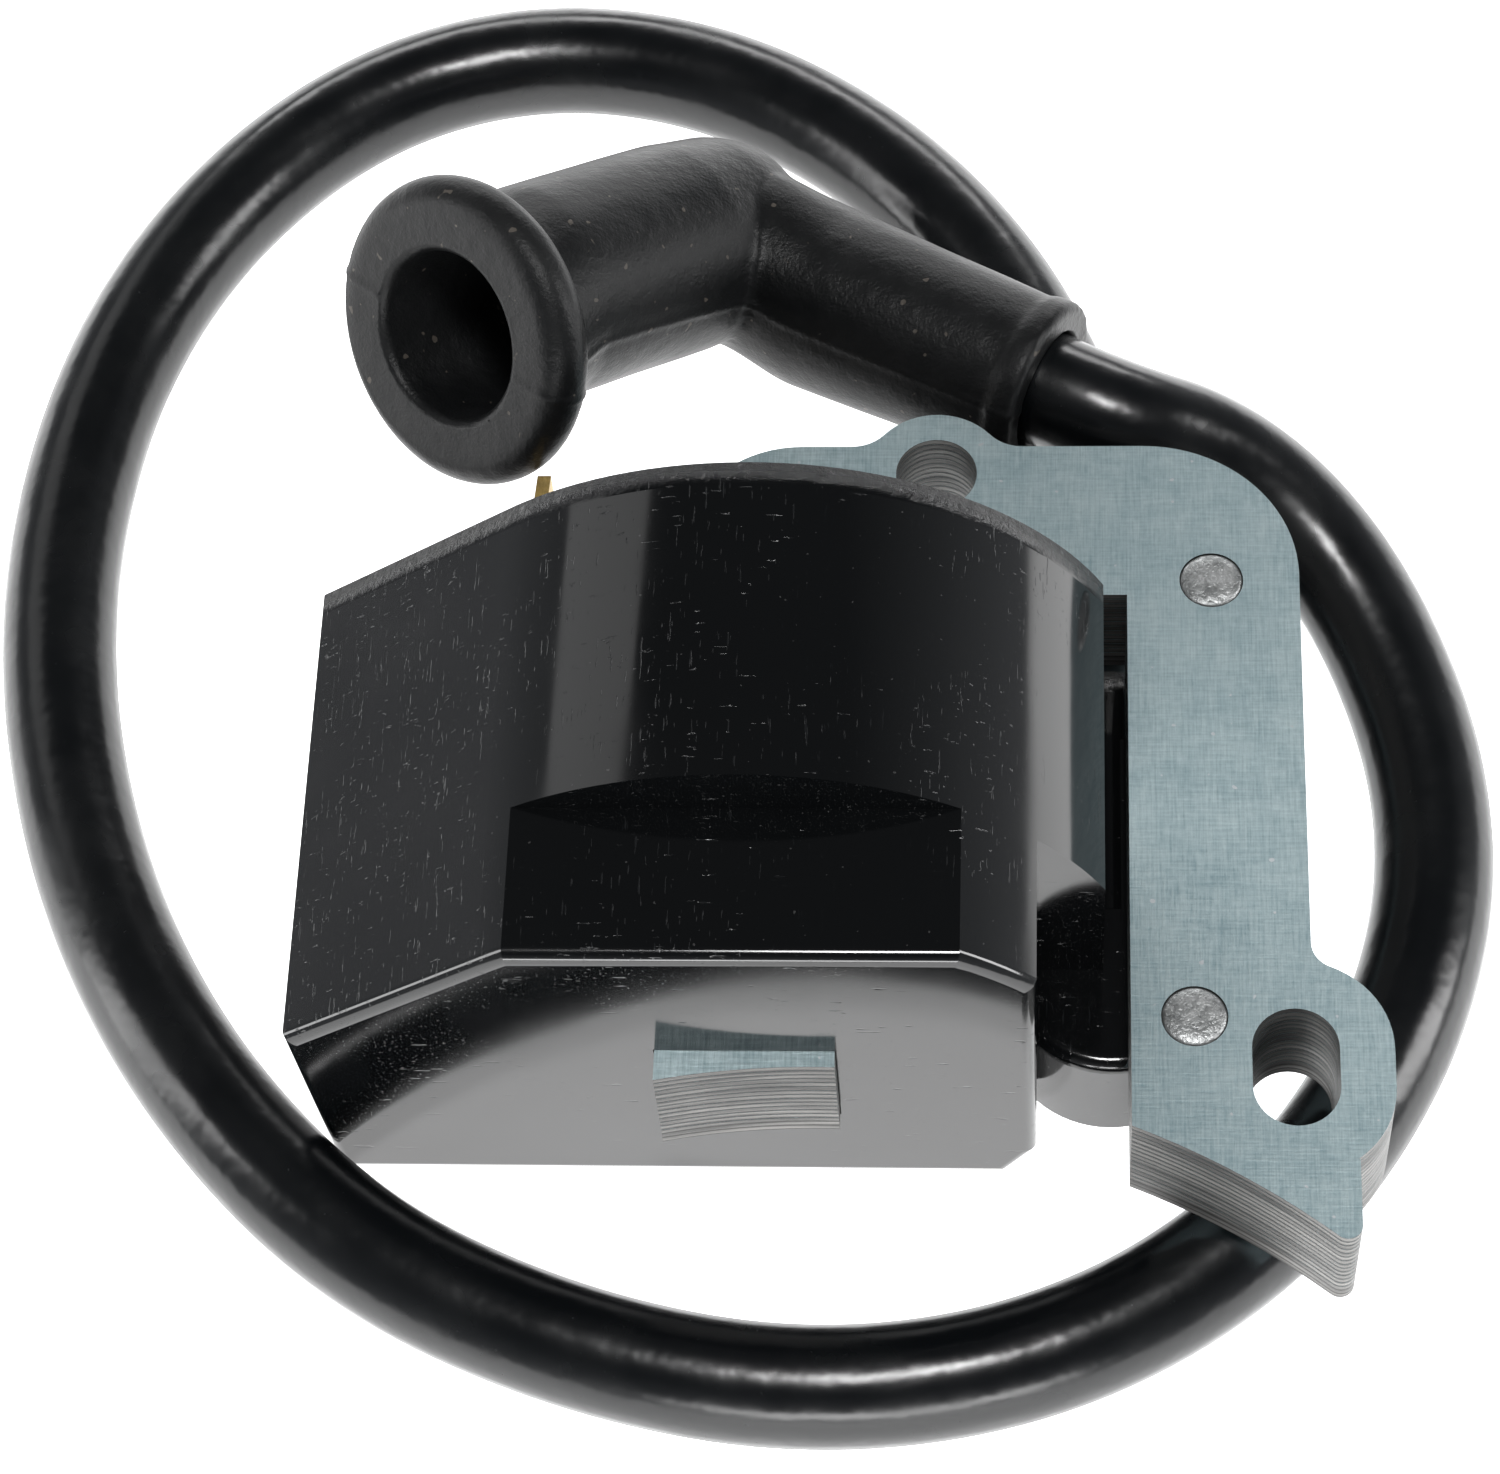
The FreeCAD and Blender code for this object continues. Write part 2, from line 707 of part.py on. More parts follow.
def ring(name, inner, outer, front, rear):
    """A square ring round the core's left leg, from inner to outer clear of the steel."""
    shells = []
    for kind, reach in (("outer", outer), ("inner", inner)):
        extra = PAST if kind == "inner" else 0
        shells.append(
            box(
                f"{name}_{kind}",
                f"Dims.leg_mid_x - Dims.leg_wide / 2 - ({reach})",
                f"{front} - {extra}",
                f"Dims.core_mid_z - Dims.core_half - ({reach})",
                f"Dims.leg_wide + 2 * ({reach})",
                f"{rear} - ({front}) + 2 * {extra}",
                f"2 * (Dims.core_half + {reach})",
            )
        )
    return cut(name, shells[0], shells[1])


def build_windings():
    """Primary bobbin and winding, paper wrap, sectioned secondary bobbin and its coils."""
    front, rear = "Dims.coil_front", "Dims.coil_rear"
    thick = "Dims.flange_thick"
    tube_in = "Dims.bobbin_gap"
    tube_out = f"({tube_in} + Dims.bobbin_wall)"
    flange_out = f"({tube_in} + Dims.primary_flange)"
    parts = [
        ring("primary_tube", tube_in, tube_out, front, rear),
        ring("primary_front_flange", tube_in, flange_out, front, f"{front} + {thick}"),
        ring("primary_rear_flange", tube_in, flange_out, f"{rear} - {thick}", rear),
    ]
    sub_part("primary_bobbin", fuse("primary_bobbin_solid", parts))

    wire_in = f"({tube_out} + Dims.coil_gap)"
    wire_out = f"({wire_in} + Dims.primary_build)"
    inner_front, inner_rear = f"({front} + {thick} + Dims.coil_gap)", f"({rear} - {thick} - Dims.coil_gap)"
    sub_part("primary_winding", ring("primary_wire", wire_in, wire_out, inner_front, inner_rear))

    wrap_in = f"({wire_out} + Dims.coil_gap)"
    wrap_out = f"({wrap_in} + Dims.wrap_thick)"
    sub_part("insulation_wrap", ring("paper_wrap", wrap_in, wrap_out, inner_front, inner_rear))

    second_in = f"({flange_out} + Dims.coil_gap)"
    second_out = f"({second_in} + Dims.bobbin_wall)"
    fin_out = coil_reach()
    parts = [ring("secondary_tube", second_in, second_out, front, rear)]
    count = int(size("Dims.section_count"))
    pitch = f"(({rear} - {front} - {thick}) / {count})"
    for index in range(count + 1):
        fin_front = f"({front} + {index} * {pitch})"
        parts.append(ring(f"secondary_fin_{index}", second_in, fin_out, fin_front, f"{fin_front} + {thick}"))
    sub_part("secondary_bobbin", fuse("secondary_bobbin_solid", parts))

    coils = []
    for index in range(count):
        coil_front = f"({front} + {index} * {pitch} + {thick} + Dims.coil_gap)"
        coil_rear = f"({front} + {index + 1} * {pitch} - Dims.coil_gap)"
        inner = f"({second_out} + Dims.coil_gap)"
        outer = f"({fin_out} - Dims.fin_proud)"
        coils.append(ring(f"secondary_coil_{index}", inner, outer, coil_front, coil_rear))
    sub_part("secondary_winding", compound("secondary_coils", coils))


# ---------------------------------------------------------------- electronics and terminals


def build_electronics():
    """The trigger board with its parts, all on the board's inner face."""
    face = "Dims.board_x + Dims.board_thick + Dims.fit_gap"
    board = box(
        "board",
        "Dims.board_x",
        "Dims.board_front",
        "Dims.board_floor",
        "Dims.board_thick",
        "Dims.board_rear - Dims.board_front",
        "Dims.board_high",
    )
    sub_part("circuit_board", board)
    packages = {
        "power_transistor": "Dims.transistor",
        "control_chip": "Dims.chip",
        "storage_capacitor": "Dims.capacitor",
        "blocking_diode": "Dims.diode",
    }
    for name, size_of in packages.items():
        sizes = [f"{size_of}_{word}" for word in ("y", "z", "off", "long", "high")]
        sub_part(name, box(name, face, *sizes))
    resistors = []
    for index in range(2):
        body = cylinder(f"resistor_{index}", "Dims.resistor_radius", "Dims.resistor_long", V(), V(0, 1, 0))
        bind(
            body,
            x=f"{face} + Dims.resistor_radius + Dims.fit_gap",
            y="Dims.resistor_y",
            z=f"Dims.resistor_z + {index} * Dims.resistor_pitch",
        )
        resistors.append(body)
    sub_part("resistors", compound("resistor_group", resistors))


def blade_shape(name, grow):
    """The stop terminal's blade: a flat strip that narrows to a blunt tip."""
    body = DOC.addObject("PartDesign::Body", name)
    side = sketch_on(body, f"{name}_side", "YZ_Plane", f"Dims.blade_x - Dims.blade_thick / 2 - {grow}")
    low, high = f"Dims.blade_floor - {grow}", f"Dims.blade_floor + Dims.blade_high + {grow}"
    middle = "Dims.blade_floor + Dims.blade_high / 2"
    shoulder = "Dims.blade_rear - Dims.blade_taper"
    corners = [
        (f"Dims.blade_front - {grow}", low),
        (shoulder, low),
        ("Dims.blade_rear", f"{middle} - Dims.blade_tip_high / 2 - {grow}"),
        ("Dims.blade_rear", f"{middle} + Dims.blade_tip_high / 2 + {grow}"),
        (shoulder, high),
        (f"Dims.blade_front - {grow}", high),
    ]
    outline(side, corners)
    pad(body, side, f"Dims.blade_thick + 2 * {grow}")
    return body


def strap_shape(name, grow):
    """The ground strap: a copper strip from the board's end to the core's leg."""
    foot_x = f"Dims.left_leg_x - Dims.fit_gap - Dims.strap_long - {grow}"
    return box(
        name,
        foot_x,
        f"Dims.strap_y - {grow}",
        f"Dims.strap_floor - {grow}",
        f"Dims.strap_long + 2 * {grow}",
        f"Dims.strap_thick + 2 * {grow}",
        f"Dims.strap_high + 2 * {grow}",
    )


def spike_shape(name, radius):
    """The high-tension spike: a cross pin out of the case and a point into the lead."""
    pin = cylinder(f"{name}_pin", radius, "Dims.tower_x - Dims.spike_pin_x", V(), V(1, 0, 0))
    bind(pin, x="Dims.spike_pin_x", y="Dims.spike_base_y + Dims.spike_pin_back", z="Dims.lead_axis_z")
    shank = cylinder(f"{name}_shank", radius, "Dims.spike_reach", V(), V(0, 1, 0))
    bind(shank, x="Dims.tower_x", y="Dims.spike_base_y", z="Dims.lead_axis_z")
    point = DOC.addObject("Part::Cone", f"{name}_point")
    point.Placement = FreeCAD.Placement(V(), FreeCAD.Rotation(V(0, 0, 1), V(0, 1, 0)))
    bind(point, Radius1=radius, Radius2="Dims.spike_point_radius", Height="Dims.spike_point")
    bind(point, x="Dims.tower_x", y="Dims.spike_base_y + Dims.spike_reach", z="Dims.lead_axis_z")
    return fuse(name, [pin, shank, point])


def link_shape(name, radius):
    """The wire from the secondary's end to the spike's pin."""
    end_x = f"Dims.leg_mid_x + Dims.leg_wide / 2 + {coil_reach()} + Dims.fit_gap"
    wire = cylinder(name, radius, f"Dims.spike_pin_x - Dims.fit_gap - ({end_x})", V(), V(1, 0, 0))
    return bind(wire, x=end_x, y="Dims.spike_base_y + Dims.spike_pin_back", z="Dims.lead_axis_z")


def build_terminals():
    """Stop terminal, ground strap, high-tension spike and its link."""
    sub_part("stop_terminal", blade_shape("blade", "0"))
    sub_part("ground_strap", strap_shape("strap", "0"))
    sub_part("high_tension_spike", spike_shape("spike", "Dims.spike_radius"))
    sub_part("high_tension_link", link_shape("link", "Dims.link_radius"))


# ---------------------------------------------------------------- rubber boot


def limb(name, direction, corners):
    """A body turned about its own Z axis, then laid from the elbow along a direction."""
    body = DOC.addObject("PartDesign::Body", name)
    half = sketch_on(body, f"{name}_half", "XZ_Plane")
    outline(half, corners)
    turn = body.newObject("PartDesign::Revolution", f"{name}_turn")
    turn.Profile = half
    turn.ReferenceAxis = (half, ["V_Axis"])
    turn.Angle = 360
    half.Visibility = False
    body.Placement = FreeCAD.Placement(BOOT_ELBOW, FreeCAD.Rotation(V(0, 0, 1), direction))
    DOC.recompute()
    return body


def build_boot():
    """The elbow boot: a plug limb with a lipped flange, and a limb that grips the lead."""
    lip = "Dims.boot_flange_thick / 2"
    mouth = "Dims.boot_plug_length"
    plug_outside = [
        ("0", "-Dims.boot_tail"),
        ("Dims.boot_plug_radius - Dims.boot_tail_round", "-Dims.boot_tail", "Dims.boot_tail_round"),
        ("Dims.boot_plug_radius", "Dims.boot_tail_round - Dims.boot_tail"),
        ("Dims.boot_plug_radius", f"{mouth} - Dims.boot_flange_thick"),
        (f"Dims.boot_flange_radius - {lip}", f"{mouth} - Dims.boot_flange_thick", lip),
        (f"Dims.boot_flange_radius - {lip}", mouth),
        ("0", mouth),
    ]
    limb_length = LEAD_LIMB.Length
    lead_outside = [
        ("0", "-Dims.boot_lead_root"),
        ("Dims.boot_lead_radius", "-Dims.boot_lead_root"),
        ("Dims.boot_lead_radius", f"{limb_length} - Dims.boot_rim_length"),
        ("Dims.boot_rim_radius", f"{limb_length} - Dims.boot_rim_length + Dims.boot_rim_bevel"),
        ("Dims.boot_rim_radius", f"{limb_length}"),
        ("0", f"{limb_length}"),
    ]
    ball = DOC.addObject("Part::Sphere", "boot_elbow")
    ball.Placement = FreeCAD.Placement(BOOT_ELBOW, FreeCAD.Rotation())
    bind(ball, Radius="Dims.boot_elbow_radius")
    outside = fuse(
        "boot_outside",
        [limb("plug_limb", PLUG_AXIS, plug_outside), limb("lead_limb", LEAD_AXIS, lead_outside), ball],
    )
    mouth_bore = cylinder(
        "mouth_bore",
        "Dims.boot_mouth_radius",
        f"Dims.boot_mouth_depth + {PAST}",
        BOOT_ELBOW + V(PLUG_AXIS) * size(f"{mouth} - Dims.boot_mouth_depth"),
        PLUG_AXIS,
    )
    back = BOOT_ELBOW - V(PLUG_AXIS) * size("Dims.boot_throat_back")
    throat = cylinder("throat", "Dims.boot_throat_radius", "Dims.boot_plug_length", back, PLUG_AXIS)
    bore_length = f"{limb_length} + {PAST}"
    lead_bore = cylinder("boot_lead_hole", "Dims.boot_lead_bore", bore_length, BOOT_ELBOW, LEAD_AXIS)
    hollow = fuse("boot_hollow", [mouth_bore, throat, lead_bore])
    sub_part("plug_boot", cut("boot", outside, hollow))


def build_spring():
    """The plug spring, a coil that grips the spark plug's tip inside the boot."""
    radius, wire = size("Dims.spring_radius"), size("Dims.spring_wire")
    helix = Part.makeHelix(size("Dims.spring_pitch"), size("Dims.spring_length"), radius)
    section = Part.Wire(Part.Circle(V(radius, 0, 0), V(0, 1, 0), wire).toShape())
    shape = Part.Wire(helix).makePipeShell([section], True, True)
    spring = DOC.addObject("Part::Feature", "spring")
    spring.Shape = shape
    base = BOOT_ELBOW + V(PLUG_AXIS) * size("Dims.spring_start")
    spring.Placement = FreeCAD.Placement(base, FreeCAD.Rotation(V(0, 0, 1), PLUG_AXIS))
    sub_part("plug_spring", spring)


# ---------------------------------------------------------------- high-tension lead


def rounded_path(points, begin, report=False):
    """Straight runs joined by tangent arcs as large as the runs allow; the first run starts at begin."""
    edges = []
    at = begin
    for index in range(1, len(points) - 1):
        before, here, after = points[index - 1 : index + 2]
        way_in, way_out = V(here - before), V(after - here)
        shorter = min(way_in.Length, way_out.Length)
        way_in.normalize()
        way_out.normalize()
        half_turn = way_in.getAngle(way_out) / 2
        radius = 0.45 * shorter / math.tan(half_turn)
        start, end = here - way_in * (0.45 * shorter), here + way_out * (0.45 * shorter)
        towards = V(way_out - way_in).normalize()
        middle = here + towards * (radius / math.cos(half_turn) - radius)
        edges.append(Part.LineSegment(at, start).toShape())
        edges.append(Part.Arc(start, middle, end).toShape())
        at = end
        if report:
            turn = 2 * math.degrees(half_turn)
            print(f"lead arc {index}: turn {turn:.1f} degrees, radius {radius:.1f} mm")
    edges.append(Part.LineSegment(at, points[-1]).toShape())
    return Part.Wire(edges)


def swept_tube(path, outer, inner):
    """A tube of two radii along a path; an inner radius of zero makes it solid."""
    start = path.Edges[0].valueAt(path.Edges[0].FirstParameter)
    way = path.Edges[0].tangentAt(path.Edges[0].FirstParameter)
    shapes = []
    for radius in (outer, inner):
        if radius > 0:
            section = Part.Wire(Part.Circle(start, way, radius).toShape())
            shapes.append(path.makePipeShell([section], True, True))
    solid = shapes[0] if len(shapes) == 1 else shapes[0].cut(shapes[1])
    expected = math.pi * (outer**2 - inner**2) * path.Length
    print(f"tube of radius {outer}: volume {solid.Volume:.1f}, section times length {expected:.1f}")
    if abs(solid.Volume / expected - 1) > 0.01:
        raise RuntimeError("the tube's volume isn't its section times its length")
    return solid


def build_lead():
    """The lead: its jacket along the route, and the conductor inside it."""
    path = rounded_path(ROUTE, ROUTE[0], report=True)
    print(f"lead length {path.Length:.1f} mm")
    outer, core, gap = size("Dims.lead_radius"), size("Dims.conductor_radius"), size("Dims.conductor_gap")
    jacket = DOC.addObject("Part::Feature", "jacket")
    jacket.Shape = swept_tube(path, outer, core + gap)
    sub_part("lead_jacket", jacket)

    spike_end = size("Dims.spike_base_y + Dims.spike_reach + Dims.spike_point + Dims.fit_gap")
    conductor = DOC.addObject("Part::Feature", "conductor")
    conductor.Shape = swept_tube(rounded_path(ROUTE, V(ROUTE[0].x, spike_end, ROUTE[0].z)), core, 0)
    sub_part("lead_conductor", conductor)

    bottom = size("Dims.tower_mouth_y - Dims.lead_bore_depth + Dims.fit_gap")
    stretch = Part.Wire(Part.LineSegment(V(ROUTE[0].x, bottom, ROUTE[0].z), ROUTE[0]).toShape())
    root = DOC.addObject("Part::Feature", "root")
    root.Shape = swept_tube(stretch, outer, core + gap)
    sub_part("lead_root", root)


# ---------------------------------------------------------------- checks and export


def check_document():
    """Stops if any object failed, or if a piece has no valid solid."""
    DOC.recompute()
    for obj in DOC.Objects:
        if "Invalid" in obj.State or "Error" in obj.State:
            raise RuntimeError(f"{obj.Label} failed: {obj.State}")
    for obj in SUB_PARTS:
        if obj.Shape.isNull() or not obj.Shape.isValid() or not obj.Shape.Solids:
            raise RuntimeError(f"{obj.Label} has no valid solid")


def export():
    """Writes each piece to its own STEP file."""
    os.makedirs("parts", exist_ok=True)
    for obj in SUB_PARTS:
        obj.Shape.exportStep(f"parts/{obj.Label}.step")
        room = obj.Shape.BoundBox
        low, high = room.getPoint(0), room.getPoint(6)
        print(f"{obj.Label}: {len(obj.Shape.Solids)} solid(s), {obj.Shape.Volume:.1f} mm3")
        print(f"    from {low.x:.2f}, {low.y:.2f}, {low.z:.2f} to {high.x:.2f}, {high.y:.2f}, {high.z:.2f}")


build_core()
build_case()
build_windings()
build_electronics()
build_terminals()
build_resin()
build_boot()
build_spring()
build_lead()
check_document()
export()
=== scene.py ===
"""The ignition coil's looks: smooth lead, rubber boot, rivets, casting skin and every material."""

import json
import math

import bmesh
import bpy
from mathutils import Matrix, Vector, noise


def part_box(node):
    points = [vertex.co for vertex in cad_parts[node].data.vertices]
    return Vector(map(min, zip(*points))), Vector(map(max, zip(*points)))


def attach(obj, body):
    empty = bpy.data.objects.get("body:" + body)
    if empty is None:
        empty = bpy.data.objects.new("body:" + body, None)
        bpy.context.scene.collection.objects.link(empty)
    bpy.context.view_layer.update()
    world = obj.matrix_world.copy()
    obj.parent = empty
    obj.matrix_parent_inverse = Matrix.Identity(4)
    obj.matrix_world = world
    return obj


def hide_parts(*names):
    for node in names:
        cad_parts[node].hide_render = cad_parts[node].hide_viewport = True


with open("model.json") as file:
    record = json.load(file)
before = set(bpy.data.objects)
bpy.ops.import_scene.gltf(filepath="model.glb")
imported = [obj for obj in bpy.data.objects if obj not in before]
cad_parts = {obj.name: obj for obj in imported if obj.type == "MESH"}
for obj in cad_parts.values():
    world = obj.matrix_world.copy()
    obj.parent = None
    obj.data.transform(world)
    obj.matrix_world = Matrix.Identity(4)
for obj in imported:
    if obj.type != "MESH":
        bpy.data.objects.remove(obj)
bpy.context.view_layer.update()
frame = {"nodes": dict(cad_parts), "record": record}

MM = 0.001
BODY = "root"

# ---------------------------------------------------------------- camera

# Place in metres, turn in degrees, lens in millimetres.
CAMERA_PLACE = Vector((11.39, -124.22, 238.50)) * MM
CAMERA_TURN = (30.159, 3.179, 1.950)
CAMERA_LENS = 107.66


def build_camera():
    """A long lens from the front and above, with no shift."""
    data = bpy.data.cameras.new("camera")
    data.sensor_fit = "HORIZONTAL"
    data.sensor_width = 36
    data.lens = CAMERA_LENS
    data.clip_start = 0.01
    camera = bpy.data.objects.new("camera", data)
    camera.location = CAMERA_PLACE
    camera.rotation_euler = [math.radians(angle) for angle in CAMERA_TURN]
    bpy.context.scene.collection.objects.link(camera)
    bpy.context.scene.camera = camera


# ---------------------------------------------------------------- lead's route, in millimetres

ROUTE = [
    (15.35, 10.0, 3.95),
    (15.35, 17.0, 3.95),
    (14.9, 27.6, 3.55),
    (12.1, 38.4, 3.55),
    (7.2, 48.2, 3.55),
    (-0.4, 56.7, 3.55),
    (-10.5, 62.9, 3.55),
    (-22.1, 64.7, 3.55),
    (-33.2, 61.0, 3.55),
    (-42.4, 51.9, 3.55),
    (-48.1, 39.8, 3.55),
    (-50.1, 26.2, 3.55),
    (-48.9, 12.7, 3.55),
    (-44.7, -0.6, 3.55),
    (-37.6, -12.4, 3.55),
    (-27.8, -22.15, 3.55),
    (-15.0, -28.1, 3.55),
    (-1.5, -30.6, 3.55),
    (11.8, -28.4, 3.55),
    (23.1, -21.6, 3.55),
    (30.7, -11.5, 3.55),
    (34.4, -0.9, 3.6),
    (34.6, 8.6, 4.1),
    (31.9, 17.9, 5.2),
    (27.6, 24.8, 7.2),
    (21.9, 28.5, 10.1),
    (15.68, 28.84, 12.9),
    (7.65, 33.43, 12.6),
    (-0.4, 37.96, 12.3),
]
LEAD_RADIUS = 3.5

# Pitch in metres of the lines painted on the core's cut edges.
SHEET_PITCH = 0.0005

# Boot in millimetres, as in the CAD: elbow, lead limb's end, and the plug limb's axis and length.
ELBOW = Vector((-8.4, 42.5, 12.0))
ARM_END = Vector((11.7, 31.1, 12.75))
PLUG_AXIS = Vector((-0.607, -0.622, 0.496)).normalized()
PLUG_LENGTH = 25.0


def link(obj):
    """Puts a new object in the scene."""
    bpy.context.scene.collection.objects.link(obj)
    return obj


def build_lead():
    """The lead as one smooth curve through the loop."""
    data = bpy.data.curves.new("ignition_lead", "CURVE")
    data.dimensions = "3D"
    spline = data.splines.new("NURBS")
    spline.points.add(len(ROUTE) - 1)
    for point, place in zip(spline.points, ROUTE):
        point.co = (*(Vector(place) * MM), 1)
    spline.order_u = 3
    spline.use_endpoint_u = True
    spline.resolution_u = 12
    data.bevel_depth = LEAD_RADIUS * MM
    data.bevel_resolution = 10
    data.use_fill_caps = True
    return link(bpy.data.objects.new("ignition_lead", data))


# ---------------------------------------------------------------- node materials


class Nodes:
    """A small helper to write a node material in a few lines."""

    def __init__(self, name):
        self.material = bpy.data.materials.new(name)
        self.material.use_nodes = True
        self.tree = self.material.node_tree
        self.shader = self.tree.nodes["Principled BSDF"]
        self.place = self.add("ShaderNodeTexCoord").outputs["Object"]

    def add(self, kind, inputs=(), **settings):
        """A node with its settings, and its inputs by name: links, numbers or colours."""
        node = self.tree.nodes.new(kind)
        for key, value in settings.items():
            setattr(node, key, value)
        for key, value in dict(inputs).items():
            if isinstance(value, bpy.types.NodeSocket):
                self.tree.links.new(value, node.inputs[key])
            else:
                node.inputs[key].default_value = value
        return node

    def scaled(self, scale):
        """The object's own coordinates, stretched by three factors."""
        return self.add("ShaderNodeMapping", {"Vector": self.place, "Scale": scale}).outputs["Vector"]

    def noise(self, scale, detail=4.0, rough=0.55, where=None):
        """Noise from 0 to 1; scale is in cycles a metre."""
        inputs = {"Vector": where or self.place, "Scale": scale, "Detail": detail, "Roughness": rough}
        return self.add("ShaderNodeTexNoise", inputs).outputs["Fac"]

    def remap(self, value, low, high, to_low, to_high):
        """Maps low..high onto to_low..to_high, and holds it there outside."""
        inputs = {"Value": value, 1: low, 2: high, 3: to_low, 4: to_high}
        return self.add("ShaderNodeMapRange", inputs).outputs["Result"]

    def maths(self, operation, first, second=0.0):
        """One sum on two values."""
        return self.add("ShaderNodeMath", {0: first, 1: second}, operation=operation).outputs["Value"]

    def mix(self, factor, first, second):
        """A blend of two colours."""
        node = self.add("ShaderNodeMix", data_type="RGBA")
        for index, value in ((0, factor), (6, first), (7, second)):
            if isinstance(value, bpy.types.NodeSocket):
                self.tree.links.new(value, node.inputs[index])
            else:
                node.inputs[index].default_value = value
        return node.outputs[2]

    def bump(self, height, distance, strength=1.0):
        """Bump of that height in metres, on the shader."""
        inputs = {"Height": height, "Distance": distance, "Strength": strength}
        socket = self.add("ShaderNodeBump", inputs).outputs["Normal"]
        self.tree.links.new(socket, self.shader.inputs["Normal"])

    def finish(self, **values):
        """Sets the shader's inputs, by their names with underscores for spaces."""
        for key, value in values.items():
            socket = self.shader.inputs[key.replace("_", " ")]
            if isinstance(value, bpy.types.NodeSocket):
                self.tree.links.new(value, socket)
            else:
                socket.default_value = value
        return self.material


def grey(value, tint=0.0):
    """A grey, a little blue if tint is above zero."""
    return (value * (1 - tint), value, value * (1 + tint), 1)


def lead_rubber():
    """Smooth extruded jacket: deep black, glossy, with faint haze and dust."""
    n = Nodes("lead_rubber")
    haze = n.noise(160, 3)
    dust = n.remap(n.noise(2600, 2), 0.72, 0.80, 0, 1)
    colour = n.mix(dust, grey(0.003, 0.25), grey(0.014, 0.1))
    n.bump(n.noise(420, 2), 0.00006)
    rough = n.maths("ADD", n.remap(haze, 0.3, 0.7, 0.20, 0.30), n.maths("MULTIPLY", dust, 0.08))
    return n.finish(Base_Color=colour, Roughness=rough, Specular_IOR_Level=0.62)


def boot_rubber():
    """Matte moulded rubber with a soft bloom and small specks."""
    n = Nodes("boot_rubber")
    bloom = n.noise(110, 5, 0.65)
    speck = n.remap(n.noise(1500, 1, 0.3), 0.745, 0.775, 0, 1)
    skin = n.mix(n.remap(bloom, 0.35, 0.7, 0, 1), grey(0.0035, 0.12), grey(0.009, 0.05))
    colour = n.mix(speck, skin, (0.075, 0.065, 0.055, 1))
    fine = n.maths("MULTIPLY", n.noise(5200, 3), 0.35)
    n.bump(n.maths("ADD", n.noise(900, 4), fine), 0.00007)
    rough = n.remap(bloom, 0.3, 0.7, 0.34, 0.46)
    return n.finish(Base_Color=colour, Roughness=rough, Specular_IOR_Level=0.26)


def case_plastic():
    """Glossy moulded case: light scratches, dust, and a rough torn rim at the rear."""
    n = Nodes("case_plastic")
    along = n.scaled((1.0, 0.10, 1.0))
    across = n.scaled((0.12, 1.0, 0.5))
    scratch = n.remap(n.noise(5200, 2, 0.6, along), 0.665, 0.70, 0, 1)
    scuff = n.remap(n.noise(4300, 2, 0.6, across), 0.69, 0.73, 0, 1)
    patch = n.remap(n.noise(70, 2), 0.42, 0.62, 0, 1)
    marks = n.maths("MULTIPLY", n.maths("MAXIMUM", scratch, scuff), patch)
    dust = n.remap(n.noise(3600, 1, 0.4), 0.77, 0.80, 0, 1)
    split = n.add("ShaderNodeSeparateXYZ", {0: n.place})
    rim = n.remap(split.outputs["Y"], 0.0126, 0.0139, 0, 1)
    torn = n.maths("MULTIPLY", rim, n.noise(1300, 5, 0.7))
    pale = n.maths("MULTIPLY", rim, n.remap(n.noise(2300, 4, 0.7), 0.60, 0.68, 0, 1))
    base = n.mix(n.maths("MULTIPLY", marks, 0.35), grey(0.0035, 0.12), grey(0.03, 0.08))
    base = n.mix(n.maths("MULTIPLY", dust, 0.5), base, grey(0.09))
    colour = n.mix(n.maths("MULTIPLY", pale, 0.6), base, grey(0.16))
    rough = n.remap(n.noise(90, 3), 0.3, 0.7, 0.07, 0.14)
    rough = n.maths("ADD", rough, n.maths("MULTIPLY", marks, 0.09))
    rough = n.maths("ADD", rough, n.maths("MULTIPLY", rim, 0.25))
    ripple = n.maths("MULTIPLY", n.noise(55, 2), 0.12)
    height = n.maths("ADD", n.maths("ADD", ripple, torn), n.maths("MULTIPLY", marks, -0.03))
    n.bump(height, 0.0004)
    return n.finish(Base_Color=colour, Roughness=rough, Specular_IOR_Level=0.78)


